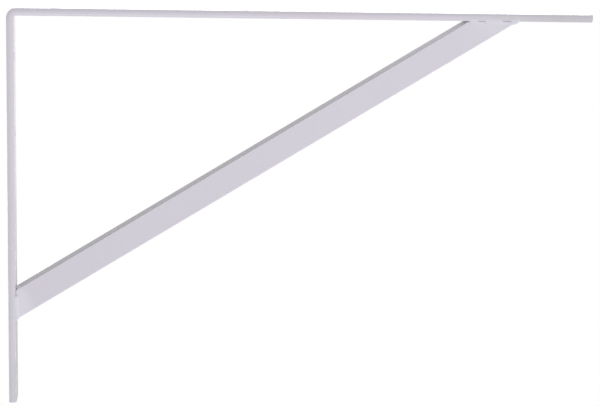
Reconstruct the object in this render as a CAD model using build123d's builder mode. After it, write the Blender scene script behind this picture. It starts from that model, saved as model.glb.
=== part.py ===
from build123d import *
import os

# Welded steel shelf bracket, in millimetres
# A flat bar is bent into two legs, and a square tube is welded across the corner as a brace.
# X runs out from the wall, Y runs across the bar and Z is up.
# The origin is on the wall face, midway between the top and the bottom wall screw.

# Flat bar
bar_width = 25.4
bar_thickness = 6.35
bar_edge_crown = 0.65
bar_corner_radius = 0.35
wall_leg_height = 342.9
shelf_leg_length = 508.0
inner_bend_radius = 2.0
sheared_end_radius = 0.3

# Screw holes, each pair measured from the corner and from the free end of its leg
hole_radius = 3.97
hole_chamfer = 0.4
wall_hole_from_corner = 41.3
wall_hole_from_end = 31.7
wall_middle_hole_from_corner = 106.4
shelf_hole_from_corner = 41.3
shelf_hole_from_end = 31.7
shelf_middle_hole_from_corner = 203.2

# Square tube brace, whose centre line keeps its distance from the free end of each leg
tube_size = 22.5
tube_wall = 1.65
tube_corner_radius = 0.8
wall_end_to_brace = 86.7
shelf_end_to_brace = 88.1
mitre_gap = 0.3

# Weld beads, measured along the seam from the upper or inner edge of the tube
# The crown is the bulge over the straight line from one toe of the bead to the other, and it covers
# the edge of the wider part.
# The last bead at each leg runs on past the other edge of the tube and wraps a little way round it.
bead_lap_on_bar = 2.2
bead_lap_on_tube = 2.4
bead_crown = 0.8
bead_end_radius = 2.2
bead_wrap = 0.8
wall_bead_start = 4.4
wall_bead_overrun = 1.5
shelf_bead_spans = [(0.4, 8.0), (14.0, 29.8)]
shelf_last_bead_length = 8.6
shelf_last_bead_overrun = 1.8

# Heights and places that follow from the sizes above
hole_spacing_on_wall = wall_leg_height - wall_hole_from_corner - wall_hole_from_end
shelf_top = hole_spacing_on_wall / 2 + wall_hole_from_corner
shelf_under = shelf_top - bar_thickness
leg_foot = shelf_top - wall_leg_height
bar_middle = bar_thickness / 2
bar_flat_side = bar_width / 2 - bar_edge_crown
bend_centre_radius = inner_bend_radius + bar_middle

brace_foot = Vector(bar_thickness, 0, leg_foot + wall_end_to_brace)
brace_head = Vector(shelf_leg_length - shelf_end_to_brace, 0, shelf_under)
brace_run = brace_head - brace_foot
brace_direction = brace_run.normalized()

wall_seam_length = tube_size / brace_direction.X
shelf_seam_length = tube_size / brace_direction.Z
wall_bead_end = wall_seam_length + wall_bead_overrun
shelf_last_bead_end = shelf_seam_length + shelf_last_bead_overrun
shelf_last_bead_start = shelf_last_bead_end - shelf_last_bead_length

# Bent flat bar: a rolled section with crowned edges is carried along the bent centre line
with BuildPart() as bent_bar:
    with BuildLine() as centre_line:
        FilletPolyline(
            (bar_middle, 0, leg_foot),
            (bar_middle, 0, shelf_top - bar_middle),
            (shelf_leg_length, 0, shelf_top - bar_middle),
            radius=bend_centre_radius,
        )
    with BuildSketch(Plane(origin=(bar_middle, 0, leg_foot), x_dir=(0, 1, 0), z_dir=(0, 0, 1))):
        with BuildLine():
            outer_flat = Line((-bar_flat_side, bar_middle), (bar_flat_side, bar_middle))
            inner_flat = Line((-bar_flat_side, -bar_middle), (bar_flat_side, -bar_middle))
            ThreePointArc(outer_flat @ 0, (-bar_width / 2, 0), inner_flat @ 0)
            ThreePointArc(outer_flat @ 1, (bar_width / 2, 0), inner_flat @ 1)
        make_face()
        fillet(vertices(), bar_corner_radius)
    sweep()
    wall_leg_end = bent_bar.faces().sort_by(Axis.Z)[0]
    shelf_leg_end = bent_bar.faces().sort_by(Axis.X)[-1]
    fillet(wall_leg_end.edges() + shelf_leg_end.edges(), sheared_end_radius)
    with BuildSketch(Plane.YZ):
        with Locations(
            (0, shelf_top - wall_hole_from_corner),
            (0, shelf_top - wall_middle_hole_from_corner),
            (0, leg_foot + wall_hole_from_end),
        ):
            Circle(hole_radius)
    extrude(amount=bar_thickness, mode=Mode.SUBTRACT)
    with BuildSketch(Plane.XY.offset(shelf_under)):
        with Locations(
            (shelf_hole_from_corner, 0),
            (shelf_middle_hole_from_corner, 0),
            (shelf_leg_length - shelf_hole_from_end, 0),
        ):
            Circle(hole_radius)
    extrude(amount=bar_thickness, mode=Mode.SUBTRACT)
    hole_rims = bent_bar.edges().filter_by(GeomType.CIRCLE).filter_by(lambda rim: rim.is_closed)
    chamfer(hole_rims, hole_chamfer)

# Brace: a square tube cut off along both legs, with a thin gap for the weld root
with BuildPart() as brace_tube:
    tube_start = brace_foot - brace_direction * tube_size
    with BuildSketch(Plane(origin=tube_start, x_dir=(0, 1, 0), z_dir=brace_direction)):
        RectangleRounded(tube_size, tube_size, tube_corner_radius)
        Rectangle(tube_size - 2 * tube_wall, tube_size - 2 * tube_wall, mode=Mode.SUBTRACT)
    extrude(amount=brace_run.length + 2 * tube_size)
    split(bisect_by=Plane.YZ.offset(bar_thickness + mitre_gap), keep=Keep.TOP)
    split(bisect_by=Plane.XY.offset(shelf_under - mitre_gap), keep=Keep.BOTTOM)


def weld_bead(seam, start, end):
    """One bead on one side of the bracket, still overlapping the bar and the tube.

    The seam plane starts at the edge of the tube: its X points off the leg, its Y out of the side
    and its Z along the seam. The bead laps onto the bar and the tube, and its root fills the gap.
    """
    bar_side = bar_width / 2
    tube_side = tube_size / 2
    root = tube_side - tube_wall
    top = max(bar_side, tube_side) + bead_crown
    tube_lap = mitre_gap + bead_lap_on_tube
    bead_width = bead_lap_on_bar + tube_lap
    middle = (tube_lap - bead_lap_on_bar) / 2
    crest = max((bar_side + tube_side) / 2 + bead_crown, bar_side, tube_side)
    length = end - start
    centre = start + length / 2
    with BuildPart() as bead:
        # Section across the seam, with a rounded crown
        with BuildSketch(seam.offset(start)):
            with BuildLine():
                crown = ThreePointArc((-bead_lap_on_bar, bar_side), (middle, crest), (tube_lap, tube_side))
                Polyline(crown @ 1, (tube_lap, root), (-bead_lap_on_bar, root), crown @ 0)
            make_face()
        extrude(amount=length)
        # Round ends, seen from the side of the bracket
        with BuildSketch(Plane(origin=seam.origin, x_dir=seam.z_dir, z_dir=seam.y_dir)):
            with Locations((centre, middle)):
                SlotOverall(length, bead_width)
        extrude(amount=top, mode=Mode.INTERSECT)
        # The crown falls away at both ends
        with BuildSketch(Plane(origin=seam.origin, x_dir=seam.z_dir, z_dir=-seam.x_dir)):
            with Locations((centre, 0)):
                RectangleRounded(length, 2 * top, bead_end_radius)
        extrude(amount=bead_width, both=True, mode=Mode.INTERSECT)
        # Past the end of the tube the bead keeps close to the tube's lower face
        split(bisect_by=brace_under.offset(bead_wrap), keep=Keep.BOTTOM)
    return bead.part


# Lower face of the brace
brace_under_normal = (brace_direction.Z, 0, -brace_direction.X)
brace_under = Plane(origin=brace_foot, z_dir=brace_under_normal).offset(tube_size / 2)

# Seam planes: down the wall leg on the left side, and out along the shelf leg on the right side
wall_seam_top = brace_foot + Vector(0, 0, wall_seam_length / 2)
shelf_seam_inner = brace_head - Vector(shelf_seam_length / 2, 0, 0)
wall_seam = Plane(origin=wall_seam_top, x_dir=(1, 0, 0), z_dir=(0, 0, -1))
shelf_seam = Plane(origin=shelf_seam_inner, x_dir=(0, 0, -1), z_dir=(1, 0, 0))

# Beads at the wall leg
with BuildPart() as wall_weld_left:
    add(weld_bead(wall_seam, wall_bead_start, wall_bead_end))
    add(bent_bar.part, mode=Mode.SUBTRACT)
    add(brace_tube.part, mode=Mode.SUBTRACT)

with BuildPart() as wall_weld_right:
    add(wall_weld_left.part)
    mirror(about=Plane.XZ, mode=Mode.REPLACE)

# Beads at the shelf leg
with BuildPart() as shelf_weld_right:
    for bead_start, bead_end in shelf_bead_spans:
        add(weld_bead(shelf_seam, bead_start, bead_end))
    add(weld_bead(shelf_seam, shelf_last_bead_start, shelf_last_bead_end))
    add(bent_bar.part, mode=Mode.SUBTRACT)
    add(brace_tube.part, mode=Mode.SUBTRACT)

with BuildPart() as shelf_weld_left:
    add(shelf_weld_right.part)
    mirror(about=Plane.XZ, mode=Mode.REPLACE)

# Labels and files
bent_bar.part.label = "bent_bar"
brace_tube.part.label = "brace_tube"
wall_weld_left.part.label = "wall_weld_left"
wall_weld_right.part.label = "wall_weld_right"
shelf_weld_left.part.label = "shelf_weld_left"
shelf_weld_right.part.label = "shelf_weld_right"

os.makedirs("parts", exist_ok=True)
export_step(bent_bar.part, "parts/bent_bar.step")
export_step(brace_tube.part, "parts/brace_tube.step")
export_step(wall_weld_left.part, "parts/wall_weld_left.step")
export_step(wall_weld_right.part, "parts/wall_weld_right.step")
export_step(shelf_weld_left.part, "parts/shelf_weld_left.step")
export_step(shelf_weld_right.part, "parts/shelf_weld_right.step")
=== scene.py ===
"""Looks of a welded steel shelf bracket, coated white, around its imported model.

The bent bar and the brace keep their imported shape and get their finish. The weld beads are modelled
here with their ripples and stand for the plain packed ones. Sizes are in metres, or in millimetres
where the name ends in mm.
"""

import logging
import math
from collections.abc import Mapping
from dataclasses import dataclass
from enum import Enum
from typing import Any

import bmesh
import bpy
from mathutils import Euler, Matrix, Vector, noise


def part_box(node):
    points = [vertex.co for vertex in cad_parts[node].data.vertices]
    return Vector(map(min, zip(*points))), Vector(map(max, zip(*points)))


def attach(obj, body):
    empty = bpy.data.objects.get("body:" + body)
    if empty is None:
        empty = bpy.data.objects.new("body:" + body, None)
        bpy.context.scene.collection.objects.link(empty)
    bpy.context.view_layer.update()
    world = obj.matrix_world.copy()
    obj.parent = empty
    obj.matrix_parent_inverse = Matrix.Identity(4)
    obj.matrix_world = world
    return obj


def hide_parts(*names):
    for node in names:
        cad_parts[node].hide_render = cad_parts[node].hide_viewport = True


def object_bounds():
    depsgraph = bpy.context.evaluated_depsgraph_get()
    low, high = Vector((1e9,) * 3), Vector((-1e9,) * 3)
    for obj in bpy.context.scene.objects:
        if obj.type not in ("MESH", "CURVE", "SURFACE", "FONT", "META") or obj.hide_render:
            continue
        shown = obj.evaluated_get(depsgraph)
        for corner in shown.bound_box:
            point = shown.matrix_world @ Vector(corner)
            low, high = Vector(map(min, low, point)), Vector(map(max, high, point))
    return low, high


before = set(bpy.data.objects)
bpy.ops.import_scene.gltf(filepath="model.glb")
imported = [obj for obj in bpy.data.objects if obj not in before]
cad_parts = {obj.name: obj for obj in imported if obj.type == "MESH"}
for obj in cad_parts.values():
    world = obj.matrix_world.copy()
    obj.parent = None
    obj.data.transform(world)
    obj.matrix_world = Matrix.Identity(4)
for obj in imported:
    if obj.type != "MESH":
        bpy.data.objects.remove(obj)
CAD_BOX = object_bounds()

LOG = logging.getLogger("shelf_bracket")
BODY = "root"
BAR_NODE = "bent_bar"
BRACE_NODE = "brace_tube"
MM = 0.001

Colour = tuple[float, float, float, float]
Triple = tuple[float, float, float]
Pair = tuple[float, float]


class Side(Enum):
    """Side of the bracket that a weld is on, as the sign of its Y."""

    LEFT = -1
    RIGHT = 1


class Leg(Enum):
    """Leg of the bent bar that a weld runs along."""

    WALL = "wall"
    SHELF = "shelf"


def srgb(hex_colour: str) -> Colour:
    """Turn an sRGB colour such as "#F0EEF4" into Blender's linear one.

    Args:
        hex_colour: Six hex digits after a hash.

    Returns:
        Red, green, blue and an alpha of one.
    """
    channels = [int(hex_colour[place : place + 2], 16) / 255 for place in (1, 3, 5)]
    linear = [c / 12.92 if c <= 0.04045 else ((c + 0.055) / 1.055) ** 2.4 for c in channels]
    return linear[0], linear[1], linear[2], 1.0


def per_metre(spacing_mm: float) -> float:
    """Return a texture scale whose features lie spacing_mm apart."""
    return 1 / (spacing_mm * MM)


def add_node(
    tree: bpy.types.NodeTree,
    kind: str,
    settings: Mapping[str, Any] | None = None,
    values: Mapping[str | int, Any] | None = None,
    links: Mapping[str | int, bpy.types.NodeSocket] | None = None,
) -> bpy.types.Node:
    """Add a shader node with its settings, socket values and incoming links.

    Args:
        tree: Node tree of the material or the world.
        kind: Blender's name for the node's type.
        settings: Attributes of the node itself.
        values: Constant values of its input sockets, by name or number.
        links: Output sockets that feed its input sockets, by name or number.

    Returns:
        The new node.
    """
    node = tree.nodes.new(kind)
    for name, value in (settings or {}).items():
        setattr(node, name, value)
    for name, value in (values or {}).items():
        node.inputs[name].default_value = value
    for name, source in (links or {}).items():
        tree.links.new(source, node.inputs[name])
    return node


def new_material(name: str) -> bpy.types.Material:
    """Make an empty node material.

    Args:
        name: Its name.

    Returns:
        The material, without any node.
    """
    material = bpy.data.materials.new(name)
    material.use_nodes = True
    material.node_tree.nodes.clear()
    return material


@dataclass(frozen=True)
class Patch:
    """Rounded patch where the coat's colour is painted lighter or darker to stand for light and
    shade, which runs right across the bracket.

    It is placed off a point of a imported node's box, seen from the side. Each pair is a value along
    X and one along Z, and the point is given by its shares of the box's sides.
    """

    node: str
    share: Pair
    offset_mm: Pair
    half_widths_mm: Pair
    colour: str
    strength: float = 1.0
    half_width_across_mm: float = 40.0

    @property
    def middle(self) -> Vector:
        """Find the middle of the patch.

        Returns:
            A place on the bracket's middle plane.
        """
        low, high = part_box(self.node)
        along_x = low.x + (high.x - low.x) * self.share[0] + self.offset_mm[0] * MM
        along_z = low.z + (high.z - low.z) * self.share[1] + self.offset_mm[1] * MM
        return Vector((along_x, 0, along_z))

    @property
    def scale(self) -> Triple:
        """Scale that turns the patch into a ball with a radius of one."""
        half_x, half_z = self.half_widths_mm
        return per_metre(half_x), per_metre(self.half_width_across_mm), per_metre(half_z)


@dataclass(frozen=True)
class Pattern:
    """Uneven pattern of a real size: how far apart its features lie, and its finer layers."""

    spacing_mm: float
    finer_layers: float


@dataclass(frozen=True)
class PowderCoat:
    """White polyester powder coat, sprayed and baked on mild steel.

    The powder flows as it bakes: the eye sees a satin white with a fine orange peel, a little
    thinner and cooler along the edges, where the melt draws back.
    """

    name: str = "powder_coated_steel_satin_white"
    full_colour: str = "#E7E2EC"
    cloudy_colour: str = "#E4DFEA"
    thin_colour: str = "#E2DDE8"
    clouds: Pattern = Pattern(spacing_mm=46.0, finer_layers=3.0)
    roughness: float = 0.07
    roughness_swing: float = 0.02
    refraction: float = 1.5

    # Orange peel, with a finer grain on it that shows only from close by
    peel: Pattern = Pattern(spacing_mm=1.4, finer_layers=1.0)
    peel_height_mm: float = 0.002
    grain: Pattern = Pattern(spacing_mm=0.3, finer_layers=2.0)
    grain_share: float = 0.18

    # Edges, which are thinnest where the rounded normal has turned as far as the cosine says
    edge_radius_mm: float = 0.7
    edge_samples: int = 6
    thinnest_edge_cosine: float = 0.7

    # Patches of painted light and shade, whose borders are soft and uneven by these shares of the
    # patch's half width
    patches: tuple[Patch, ...] = ()
    border: Pattern = Pattern(spacing_mm=7.0, finer_layers=1.0)
    border_softness: float = 0.35
    border_unevenness: float = 0.3

    def build(self) -> bpy.types.Material:
        """Make the material.

        Returns:
            A material with clouds, edge thinning, patches of painted light and shade, and orange
            peel.
        """
        material = new_material(self.name)
        tree = material.node_tree
        place = add_node(tree, "ShaderNodeTexCoord").outputs["Object"]
        clouds, peel, grain, border = (
            add_node(
                tree,
                "ShaderNodeTexNoise",
                values={"Scale": per_metre(pattern.spacing_mm), "Detail": pattern.finer_layers},
                links={"Vector": place},
            ).outputs["Fac"]
            for pattern in (self.clouds, self.peel, self.grain, self.border)
        )

        body = add_node(
            tree,
            "ShaderNodeMix",
            {"data_type": "RGBA"},
            {6: srgb(self.full_colour), 7: srgb(self.cloudy_colour)},
            {0: clouds},
        ).outputs[2]
        colour = add_node(
            tree,
            "ShaderNodeMix",
            {"data_type": "RGBA"},
            {7: srgb(self.thin_colour)},
            {0: self._edges(tree), 6: body},
        ).outputs[2]
        for patch in self.patches:
            colour = add_node(
                tree,
                "ShaderNodeMix",
                {"data_type": "RGBA"},
                {7: srgb(patch.colour)},
                {0: self._patch(tree, place, border, patch), 6: colour},
            ).outputs[2]
        roughness = add_node(
            tree,
            "ShaderNodeMapRange",
            values={
                "To Min": self.roughness - self.roughness_swing,
                "To Max": self.roughness + self.roughness_swing,
            },
            links={"Value": clouds},
        ).outputs["Result"]
        relief = add_node(
            tree,
            "ShaderNodeMath",
            {"operation": "MULTIPLY_ADD"},
            {1: self.grain_share},
            {0: grain, 2: peel},
        ).outputs[0]
        bump = add_node(
            tree,
            "ShaderNodeBump",
            values={"Strength": 1.0, "Distance": self.peel_height_mm * MM},
            links={"Height": relief},
        ).outputs["Normal"]
        shader = add_node(
            tree,
            "ShaderNodeBsdfPrincipled",
            values={"IOR": self.refraction},
            links={"Base Color": colour, "Roughness": roughness, "Normal": bump},
        )
        add_node(tree, "ShaderNodeOutputMaterial", links={"Surface": shader.outputs["BSDF"]})
        return material

    def _patch(
        self,
        tree: bpy.types.NodeTree,
        place: bpy.types.NodeSocket,
        border: bpy.types.NodeSocket,
        patch: Patch,
    ) -> bpy.types.NodeSocket:
        """Mark one rounded patch.

        Args:
            tree: Node tree of the material.
            place: Socket with the place on the object.
            border: Socket with the noise that makes its border uneven.
            patch: The patch.

        Returns:
            A value that is the patch's strength inside it and 0 outside.
        """
        offset = add_node(
            tree,
            "ShaderNodeVectorMath",
            {"operation": "SUBTRACT"},
            {1: patch.middle},
            {0: place},
        ).outputs[0]
        scaled = add_node(
            tree,
            "ShaderNodeVectorMath",
            {"operation": "MULTIPLY"},
            {1: patch.scale},
            {0: offset},
        ).outputs[0]
        distance = add_node(
            tree,
            "ShaderNodeVectorMath",
            {"operation": "LENGTH"},
            links={0: scaled},
        ).outputs["Value"]
        uneven = add_node(
            tree,
            "ShaderNodeMath",
            {"operation": "MULTIPLY_ADD"},
            {1: self.border_unevenness},
            {0: border, 2: distance},
        ).outputs[0]
        return add_node(
            tree,
            "ShaderNodeMapRange",
            {"interpolation_type": "SMOOTHSTEP"},
            {
                "From Min": 1 + self.border_softness,
                "From Max": 1 - self.border_softness,
                "To Max": patch.strength,
            },
            {"Value": uneven},
        ).outputs["Result"]

    def _edges(self, tree: bpy.types.NodeTree) -> bpy.types.NodeSocket:
        """Mark the outer edges, where a rounded normal turns away from the true one.

        Args:
            tree: Node tree of the material.

        Returns:
            A value that is 0 on a flat face and rises towards an edge.
        """
        true_normal = add_node(tree, "ShaderNodeNewGeometry").outputs["Normal"]
        rounded = add_node(
            tree,
            "ShaderNodeBevel",
            {"samples": self.edge_samples},
            {"Radius": self.edge_radius_mm * MM},
        ).outputs["Normal"]
        cosine = add_node(
            tree,
            "ShaderNodeVectorMath",
            {"operation": "DOT_PRODUCT"},
            links={0: true_normal, 1: rounded},
        ).outputs["Value"]
        return add_node(
            tree,
            "ShaderNodeMapRange",
            values={"From Min": 1.0, "From Max": self.thinnest_edge_cosine},
            links={"Value": cosine},
        ).outputs["Result"]


@dataclass(frozen=True)
class MattSweep:
    """Matt white paper sweep, lit until it shows as clean white and throws a soft light upwards.

    Its glow rises from the near one to the far one between the two reaches from its middle.
    """

    name: str = "paper_matt_white_lit"
    colour: str = "#F7F7F7"
    seen_colour: str = "#FFFFFF"
    roughness: float = 0.9
    near_glow: float = 0.22
    near_reach: float = 15.0
    far_glow: float = 0.55
    far_reach: float = 25.0

    def build(self) -> bpy.types.Material:
        """Make the material.

        Returns:
            A material that shows as white and glows a little, more so farther out.
        """
        material = new_material(self.name)
        tree = material.node_tree
        place = add_node(tree, "ShaderNodeTexCoord").outputs["Object"]
        flat_place = add_node(
            tree,
            "ShaderNodeVectorMath",
            {"operation": "MULTIPLY"},
            {1: (1.0, 1.0, 0.0)},
            {0: place},
        ).outputs[0]
        reach = add_node(
            tree,
            "ShaderNodeVectorMath",
            {"operation": "LENGTH"},
            links={0: flat_place},
        ).outputs["Value"]
        glow = add_node(
            tree,
            "ShaderNodeMapRange",
            values={
                "From Min": self.near_reach,
                "From Max": self.far_reach,
                "To Min": self.near_glow,
                "To Max": self.far_glow,
            },
            links={"Value": reach},
        ).outputs["Result"]
        shader = add_node(
            tree,
            "ShaderNodeBsdfPrincipled",
            values={
                "Base Color": srgb(self.colour),
                "Roughness": self.roughness,
                "Emission Color": srgb(self.colour),
            },
            links={"Emission Strength": glow},
        )
        burnt_out = add_node(tree, "ShaderNodeEmission", values={"Color": srgb(self.seen_colour)})
        seen = add_node(tree, "ShaderNodeLightPath").outputs["Is Camera Ray"]
        both = add_node(
            tree,
            "ShaderNodeMixShader",
            links={0: seen, 1: shader.outputs["BSDF"], 2: burnt_out.outputs[0]},
        )
        add_node(tree, "ShaderNodeOutputMaterial", links={"Surface": both.outputs[0]})
        return material


@dataclass(frozen=True)
class Seam:
    """Line along which one side of the brace is welded to one leg of the bar."""

    leg: Leg
    side: Side

    @property
    def node(self) -> str:
        """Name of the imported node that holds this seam's beads."""
        return f"{self.leg.value}_weld_{self.side.name.lower()}"

    @property
    def along(self) -> Vector:
        """Direction along the seam."""
        return Vector((0, 0, 1)) if self.leg is Leg.WALL else Vector((1, 0, 0))

    @property
    def off_leg(self) -> Vector:
        """Direction off the leg, from the bar towards the brace."""
        return Vector((1, 0, 0)) if self.leg is Leg.WALL else Vector((0, 0, -1))

    @property
    def outward(self) -> Vector:
        """Direction out of this side of the bracket."""
        return Vector((0, self.side.value, 0))


@dataclass
class Weld:
    """Weld beads along one seam, each with its ripples and its rounded ends."""

    seam: Seam
    finish: bpy.types.Material

    # Bulge over the straight line from the bar to the tube, and where the bead wraps round the tube
    swell: float = 0.15 * MM
    swell_at_wrap: float = 0.45 * MM
    wrap_reach: float = 4.0 * MM
    wrap: float = 0.75 * MM
    edge_sink: float = 0.04 * MM

    # Ripples, bowed along the seam
    ripple_pitch: float = 1.7 * MM
    ripple_depth: float = 0.05 * MM
    ripple_bow: float = 1.1 * MM
    ripple_roundness: float = 0.6

    # Unevenness of a hand-made bead
    edge_wander: float = 0.16 * MM
    height_wander: float = 0.08 * MM
    wander_spacing: float = 6.0 * MM

    # Mesh
    step: float = 0.28 * MM
    rings: int = 14
    least_turn_points: int = 6
    spine_merge: float = 0.035 * MM

    def __post_init__(self) -> None:
        """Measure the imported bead, and the steel on both sides of it."""
        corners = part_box(self.seam.node)
        self.bar_edge, self.tube_edge = sorted(corner.dot(self.seam.off_leg) for corner in corners)
        self.root, self.crown = sorted(corner.dot(self.seam.outward) for corner in corners)
        self.bar_half_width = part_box(BAR_NODE)[1].y
        low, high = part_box(BRACE_NODE)
        self.tube_half_width = high.y
        self.brace_under = Vector((low.x, 0, low.z))
        self.under_normal = Vector((high.z - low.z, 0, low.x - high.x)).normalized()

    def build(self) -> bpy.types.Object:
        """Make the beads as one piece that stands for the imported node.

        Returns:
            The new object, riding on the bracket.
        """
        mesh = bpy.data.meshes.new(f"{self.seam.leg.value}_beads_{self.seam.side.name.lower()}")
        shape = bmesh.new()
        for start, end in self._spans():
            self._add_bead(shape, start, end)
        bmesh.ops.recalc_face_normals(shape, faces=shape.faces)
        shape.to_mesh(mesh)
        shape.free()
        mesh.shade_smooth()
        mesh.materials.append(self.finish)
        piece = bpy.data.objects.new(mesh.name, mesh)
        bpy.context.scene.collection.objects.link(piece)
        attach(piece, BODY)
        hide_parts(self.seam.node)
        return piece

    def _spans(self) -> list[Pair]:
        """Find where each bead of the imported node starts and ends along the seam.

        Returns:
            Start and end of each bead, as distances along the seam's direction.
        """
        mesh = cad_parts[self.seam.node].data
        places = [vertex.co.dot(self.seam.along) for vertex in mesh.vertices]
        faces = []
        for face in mesh.polygons:
            reach = [places[vertex] for vertex in face.vertices]
            faces.append((min(reach), max(reach)))
        faces.sort()
        spans = [list(faces[0])]
        for low, high in faces[1:]:
            if low > spans[-1][1] + self.step:
                spans.append([low, high])
            else:
                spans[-1][1] = max(spans[-1][1], high)
        return [(low, high) for low, high in spans]

    def _surface(self, along: float, across: float, inset: float) -> float:
        """Work out the bead's height at one point.

        Args:
            along: Distance along the seam.
            across: Place across the bead, from -1 on the bar to 1 on the tube.
            inset: How far in from the bead's outline, from 0 to 1 at its spine.

        Returns:
            The distance from the bracket's middle plane.
        """
        from_bar = (across + 1) / 2
        toe_to_toe = self.bar_half_width + (self.tube_half_width - self.bar_half_width) * from_bar
        rise = 1 - (1 - inset) ** 2
        ripple_place = (along + self.ripple_bow * across * across) / self.ripple_pitch
        ripple = ((1 + math.sin(2 * math.pi * ripple_place)) / 2) ** self.ripple_roundness
        spot = Vector((along, across * self.wander_spacing, self.crown)) / self.wander_spacing
        off = self.bar_edge + (self.tube_edge - self.bar_edge) * from_bar
        inside = -self._past_brace(self.seam.along * along + self.seam.off_leg * off)
        at_wrap = min(max(1 - inside / self.wrap_reach, 0.0), 1.0)
        bead = self.swell + (self.swell_at_wrap - self.swell) * at_wrap
        bead += noise.noise(spot) * self.height_wander - (1 - ripple) * self.ripple_depth
        return min(toe_to_toe - self.edge_sink + (bead + self.edge_sink) * rise, self.crown)

    def _add_bead(self, shape: bmesh.types.BMesh, start: float, end: float) -> None:
        """Add one closed bead.

        Args:
            shape: Mesh that takes the bead.
            start: Where the bead starts along the seam.
            end: Where it ends.
        """
        half_width = (self.tube_edge - self.bar_edge) / 2
        middle = (self.tube_edge + self.bar_edge) / 2
        spine_start = start + half_width
        spine_end = max(end - half_width, spine_start)
        outline = self._outline(spine_start, spine_end, half_width)
        loops = []
        for ring in range(self.rings + 1):
            share = 1 - ring / self.rings
            loop = []
            for spine, direction_along, direction_across in outline:
                along = spine + direction_along * half_width * share
                across = direction_across * share
                wobble = noise.noise(Vector((along, across * MM, middle)) / self.wander_spacing)
                off = middle + across * half_width + wobble * self.edge_wander * share
                height = self._surface(along, across, 1 - share)
                loop.append(self._vertex(shape, along, off, height))
            loops.append(loop)
        base = []
        for vertex in loops[0]:
            along = vertex.co.dot(self.seam.along)
            off = vertex.co.dot(self.seam.off_leg)
            base.append(self._vertex(shape, along, off, self.root))
        for outer, inner in zip([base] + loops, loops):
            self._join(shape, outer, inner)
        shape.faces.new(base)
        bmesh.ops.remove_doubles(shape, verts=loops[-1], dist=self.spine_merge)

    def _join(
        self,
        shape: bmesh.types.BMesh,
        outer: list[bmesh.types.BMVert],
        inner: list[bmesh.types.BMVert],
    ) -> None:
        """Lay a strip of faces between two closed loops with as many vertices.

        Args:
            shape: Mesh that takes the faces.
            outer: Vertices of the outer loop.
            inner: Vertices of the inner loop.
        """
        for place in range(len(outer)):
            after = (place + 1) % len(outer)
            shape.faces.new((outer[place], outer[after], inner[after], inner[place]))

    def _outline(
        self,
        spine_start: float,
        spine_end: float,
        half_width: float,
    ) -> list[Triple]:
        """Lay points round the bead's outline.

        Args:
            spine_start: Where the straight middle line starts.
            spine_end: Where it ends.
            half_width: Half of the bead's width.

        Returns:
            For each point its foot on the middle line, and its direction along and across the seam.
        """
        straight = max(1, round((spine_end - spine_start) / self.step))
        turn = max(self.least_turn_points, round(math.pi * half_width / self.step))
        points = []
        for start, end, side in ((spine_start, spine_end, 1), (spine_end, spine_start, -1)):
            for place in range(straight):
                points.append((start + (end - start) * place / straight, 0.0, -side))
            for place in range(turn):
                angle = math.pi * place / turn
                points.append((end, side * math.sin(angle), -side * math.cos(angle)))
        return points

    def _vertex(
        self,
        shape: bmesh.types.BMesh,
        along: float,
        off: float,
        height: float,
    ) -> bmesh.types.BMVert:
        """Add a vertex, drawn back close to the brace's lower face where it lies past it.

        Args:
            shape: Mesh that takes the vertex.
            along: Distance along the seam.
            off: Distance off the leg.
            height: Distance from the bracket's middle plane.

        Returns:
            The new vertex.
        """
        place = self.seam.along * along + self.seam.off_leg * off + self.seam.outward * height
        beyond = self._past_brace(place) - self.wrap
        return shape.verts.new(place - self.under_normal * max(beyond, 0.0))

    def _past_brace(self, place: Vector) -> float:
        """Return how far a place lies past the tube's lower face."""
        return (place - self.brace_under).dot(self.under_normal)


# Painted light: the tube's coat is painted lighter by the weld at the wall leg, where light from the
# bar falls on it
PAINTED_LIGHT_AT_WALL_WELD = Patch(
    node=Seam(Leg.WALL, Side.LEFT).node,
    share=(0.5, 0.5),
    offset_mm=(1.4, 2.8),
    half_widths_mm=(14.0, 18.0),
    colour="#EFECF6",
)
# Painted light: the tube's coat is painted lighter by the weld under the shelf leg, where light from
# the bar falls on it
PAINTED_LIGHT_AT_SHELF_WELD = Patch(
    node=Seam(Leg.SHELF, Side.LEFT).node,
    share=(0.5, 0.5),
    offset_mm=(-0.9, -1.65),
    half_widths_mm=(26.0, 13.0),
    colour="#E9E6F1",
)
# Painted shade: the bar's coat is painted darker towards the free end of the shelf leg, where its
# lower edge shows less light
PAINTED_SHADE_AT_SHELF_END = Patch(
    node=BAR_NODE,
    share=(1.0, 1.0),
    offset_mm=(-8.0, -10.75),
    half_widths_mm=(120.0, 11.0),
    colour="#D3D1D7",
)
# Painted shade: the bar's coat is painted darker low on the wall leg, towards its free end
PAINTED_SHADE_AT_WALL_END = Patch(
    node=BAR_NODE,
    share=(0.0, 0.0),
    offset_mm=(7.0, -1.35),
    half_widths_mm=(6.5, 58.0),
    colour="#D9D6DF",
)
# Painted shade: the coats are painted darker in the open seam between the tube's end and the wall
# leg, where shade falls in the crevice
PAINTED_SHADE_IN_OPEN_SEAM = Patch(
    node=Seam(Leg.WALL, Side.LEFT).node,
    share=(0.5, 1.0),
    offset_mm=(-0.2, -0.6),
    half_widths_mm=(1.7, 2.3),
    colour="#C4C0CB",
    strength=0.45,
)


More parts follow.
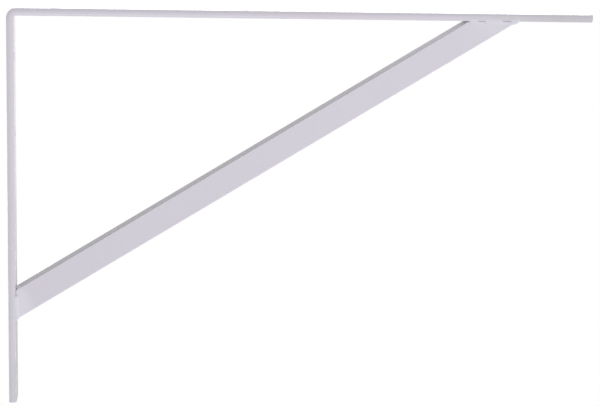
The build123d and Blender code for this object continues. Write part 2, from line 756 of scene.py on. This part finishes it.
@dataclass
class Bracket:
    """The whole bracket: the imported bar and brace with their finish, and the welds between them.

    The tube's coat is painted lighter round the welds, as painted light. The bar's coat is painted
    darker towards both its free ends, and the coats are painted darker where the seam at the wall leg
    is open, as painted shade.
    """

    bar_coat: PowderCoat = PowderCoat(
        patches=(PAINTED_SHADE_AT_SHELF_END, PAINTED_SHADE_AT_WALL_END, PAINTED_SHADE_IN_OPEN_SEAM),
    )
    brace_coat: PowderCoat = PowderCoat(
        name="powder_coated_tube_satin_white",
        full_colour="#E9E4EE",
        cloudy_colour="#E6E1EC",
        patches=(PAINTED_LIGHT_AT_WALL_WELD, PAINTED_LIGHT_AT_SHELF_WELD, PAINTED_SHADE_IN_OPEN_SEAM),
    )
    # Painted shade: the beads' coat is painted a little darker than the bar's, to tone down how
    # bright the beads come out under the lamps
    bead_coat: PowderCoat = PowderCoat(
        name="powder_coated_weld_satin_white",
        full_colour="#E2E0EB",
        cloudy_colour="#E0DEE9",
        patches=(PAINTED_SHADE_IN_OPEN_SEAM,),
        roughness=0.4,
    )

    def build(self) -> list[bpy.types.Object]:
        """Dress the steel and make the welds.

        Returns:
            Every visible piece of the bracket.
        """
        bead_finish = self.bead_coat.build()
        pieces = [
            self._dress(BAR_NODE, self.bar_coat.build()),
            self._dress(BRACE_NODE, self.brace_coat.build()),
        ]
        for leg in Leg:
            for side in Side:
                pieces.append(Weld(Seam(leg, side), bead_finish).build())
        return pieces

    def _dress(self, node: str, finish: bpy.types.Material) -> bpy.types.Object:
        """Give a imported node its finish.

        Args:
            node: Name of the node.
            finish: Material for all its faces.

        Returns:
            The node's object.
        """
        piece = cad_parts[node]
        for material_slot in piece.material_slots:
            material_slot.material = finish
        return piece


@dataclass(frozen=True)
class SoftBox:
    """Soft box that looks at the bracket and isn't seen itself."""

    name: str
    place: Triple
    power: float
    width: float
    height: float
    aim: Triple = (0.25, 0.0, 0.0)

    def build(self) -> bpy.types.Object:
        """Hang the soft box.

        Returns:
            The lamp's object.
        """
        lamp = bpy.data.lights.new(self.name, "AREA")
        lamp.shape = "RECTANGLE"
        lamp.size = self.width
        lamp.size_y = self.height
        lamp.energy = self.power
        holder = bpy.data.objects.new(self.name, lamp)
        holder.location = self.place
        gaze = Vector(self.aim) - Vector(self.place)
        holder.rotation_euler = gaze.to_track_quat("-Z", "Y").to_euler()
        holder.visible_camera = False
        bpy.context.scene.collection.objects.link(holder)
        return holder


@dataclass
class Studio:
    """Pale floor and plain soft light.

    The key lights the near faces from the front right, the low box brightens the shelf leg's lower
    edge, the back box lights the far faces, and the strip shows in the shelf leg's top face. The
    sky's stops are pairs of a height over the horizon in degrees and the light there.
    """

    floor_drop: float = 3.0
    floor_size: float = 60.0
    sky_colour: str = "#FFFFFF"
    sky_stops: tuple[Pair, ...] = (
        (0.0, 0.9),
        (1.0, 0.5),
        (12.0, 0.58),
        (25.0, 0.33),
    )
    soft_boxes: tuple[SoftBox, ...] = (
        SoftBox("key", place=(3.6, -3.2, -1.6), power=87.0, width=1.4, height=1.4),
        SoftBox("low", place=(0.1, -3.6, -1.5), power=4.0, width=1.0, height=1.0),
        SoftBox("back", place=(-1.0, 4.0, -1.0), power=60.0, width=1.4, height=1.4),
        SoftBox("strip", place=(2.5, 20.0, 0.6), power=38.0, width=8.4, height=0.8),
    )

    def build(self) -> None:
        """Make the floor, the lamps and the sky."""
        bpy.context.scene.view_settings.view_transform = "Standard"
        self._floor()
        for soft_box in self.soft_boxes:
            soft_box.build()
        self._sky()

    def _floor(self) -> None:
        """Lay the floor well below the bracket, which hangs at a wall and so never stands on it."""
        mesh = bpy.data.meshes.new("floor")
        half = self.floor_size / 2
        height = CAD_BOX[0].z - self.floor_drop
        signs = ((-1, -1), (1, -1), (1, 1), (-1, 1))
        corners = [(x * half, y * half, height) for x, y in signs]
        mesh.from_pydata(corners, [], [(0, 1, 2, 3)])
        mesh.materials.append(MattSweep().build())
        floor = bpy.data.objects.new("floor", mesh)
        bpy.context.scene.collection.objects.link(floor)

    def _sky(self) -> None:
        """Make a sky that is bright just over the floor and dimmer above, and shows as white."""
        world = bpy.data.worlds.new("sky")
        world.use_nodes = True
        tree = world.node_tree
        tree.nodes.clear()
        seen = add_node(tree, "ShaderNodeLightPath").outputs["Is Camera Ray"]
        colour = srgb(self.sky_colour)
        direction = add_node(tree, "ShaderNodeTexCoord").outputs["Generated"]
        height = add_node(tree, "ShaderNodeSeparateXYZ", links={0: direction}).outputs["Z"]
        level = add_node(tree, "ShaderNodeValToRGB", links={"Fac": height})
        stops = level.color_ramp.elements
        stops.remove(stops[1])
        for place, (degrees, light) in enumerate(self.sky_stops):
            stop = stops.new(math.sin(math.radians(degrees))) if place else stops[0]
            stop.color = (light, light, light, 1.0)
        lighting = add_node(
            tree,
            "ShaderNodeBackground",
            values={"Color": colour},
            links={"Strength": level.outputs["Color"]},
        )
        backing = add_node(tree, "ShaderNodeBackground", values={"Color": colour, "Strength": 1.0})
        both = add_node(
            tree,
            "ShaderNodeMixShader",
            links={0: seen, 1: lighting.outputs[0], 2: backing.outputs[0]},
        )
        add_node(tree, "ShaderNodeOutputWorld", links={"Surface": both.outputs[0]})
        bpy.context.scene.world = world


@dataclass(frozen=True)
class PhotoCamera:
    """Camera at the photograph's viewpoint, to the left, a little above and near the wall end."""

    eye: Triple = (0.0950, -1.4976, 0.2278)
    looks_at: Triple = (0.2526, -0.0127, 0.00995)
    roll_degrees: float = 0.94
    lens_mm: float = 103.6
    sensor_mm: float = 36.0

    def build(self) -> bpy.types.Object:
        """Make the camera and use it.

        Returns:
            The camera's object.
        """
        data = bpy.data.cameras.new("photo_camera")
        data.lens = self.lens_mm
        data.sensor_width = self.sensor_mm
        data.sensor_fit = "HORIZONTAL"
        camera = bpy.data.objects.new("photo_camera", data)
        gaze = (Vector(self.looks_at) - Vector(self.eye)).to_track_quat("-Z", "Y")
        roll = Euler((0, 0, math.radians(self.roll_degrees))).to_quaternion()
        camera.location = self.eye
        camera.rotation_euler = (gaze @ roll).to_euler()
        bpy.context.scene.collection.objects.link(camera)
        bpy.context.scene.camera = camera
        return camera


def main() -> None:
    """Build the bracket, the studio and the camera in order."""
    logging.basicConfig(level=logging.INFO, format="%(message)s")
    PhotoCamera().build()
    Studio().build()
    for piece in Bracket().build():
        LOG.info("%s: %d faces", piece.name, len(piece.data.polygons))


if __name__ == "__main__":
    main()
